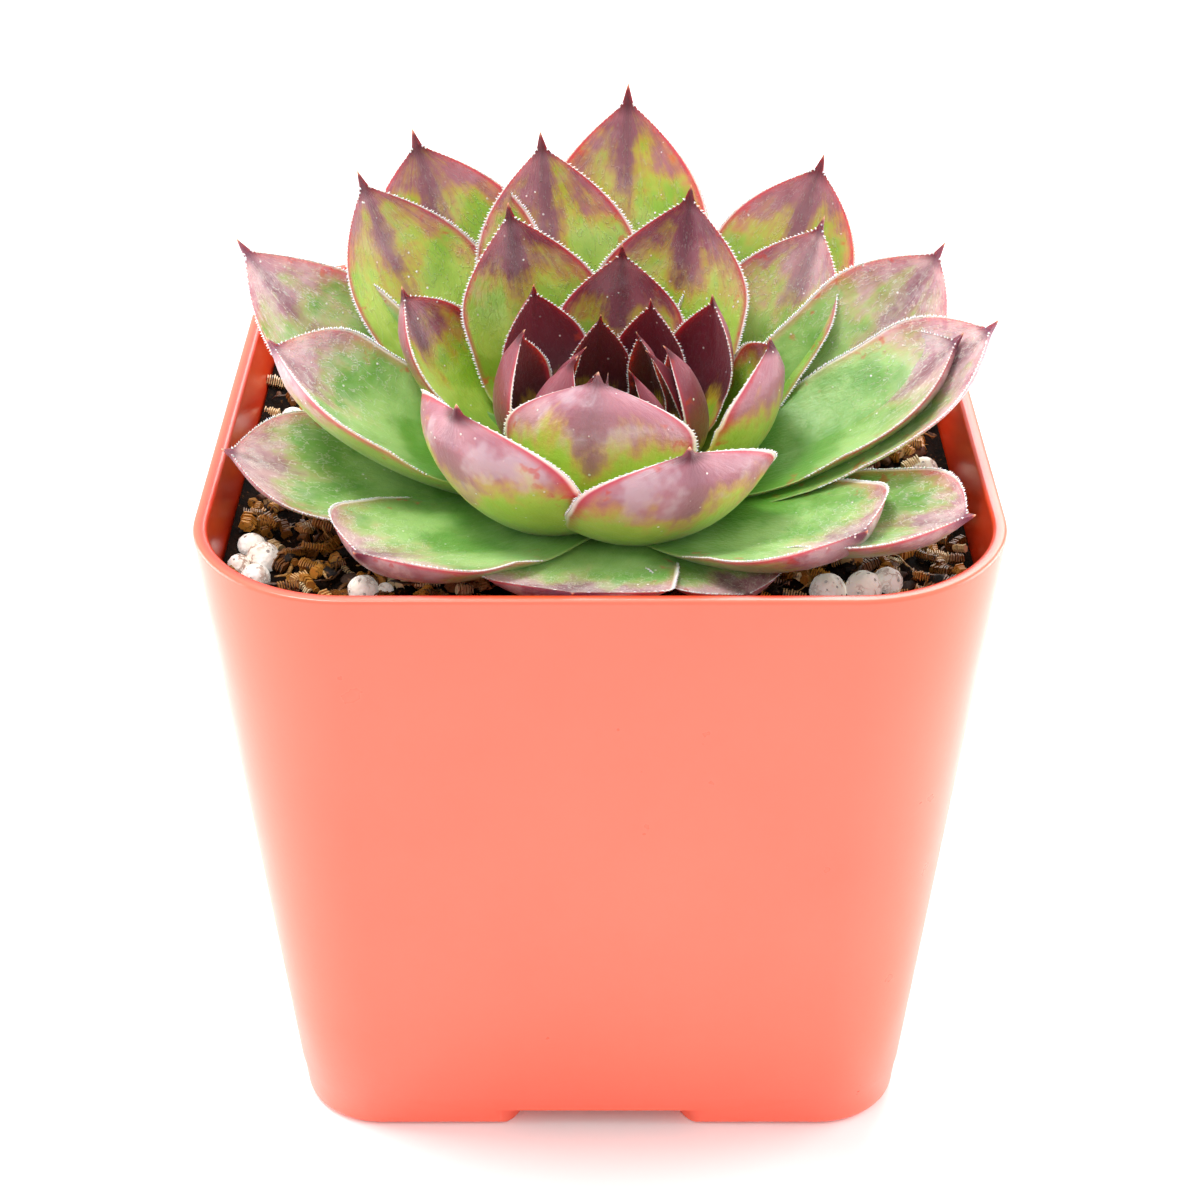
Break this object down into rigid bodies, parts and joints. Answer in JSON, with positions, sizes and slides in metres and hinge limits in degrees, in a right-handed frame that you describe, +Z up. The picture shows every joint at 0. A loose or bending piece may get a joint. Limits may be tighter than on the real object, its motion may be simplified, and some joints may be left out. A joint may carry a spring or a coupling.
{
  "type": "potted hens and chicks plant",
  "caption": "A hens and chicks rosette with green leaves and dark red tips, growing in dark soil with white grains in a small square coral plastic pot on four feet.",
  "frame": {"origin": "the centre of the pot's foot plane, midway between its four feet", "axes": "+Z up along the pot, +X to the right and -Y to the front as the picture shows it"},
  "size_m": [0.0571, 0.057, 0.0697],
  "materials": {
    "pot": "satin coral plastic",
    "potting_soil": "dark bark and peat mix, stood in for by wood",
    "rosette": "fleshy waxy leaf, stood in for by rubber",
    "perlite": "light white porous grain, stood in for by plastic"
  },
  "bodies": {
    "root": {"pot": "pot", "potting_soil": "potting_soil", "rosette": "rosette", "perlite_front_left": "perlite", "perlite_front": "perlite", "perlite_front_right": "perlite", "perlite_back_left": "perlite", "perlite_right": "perlite"}
  },
  "joints": []
}
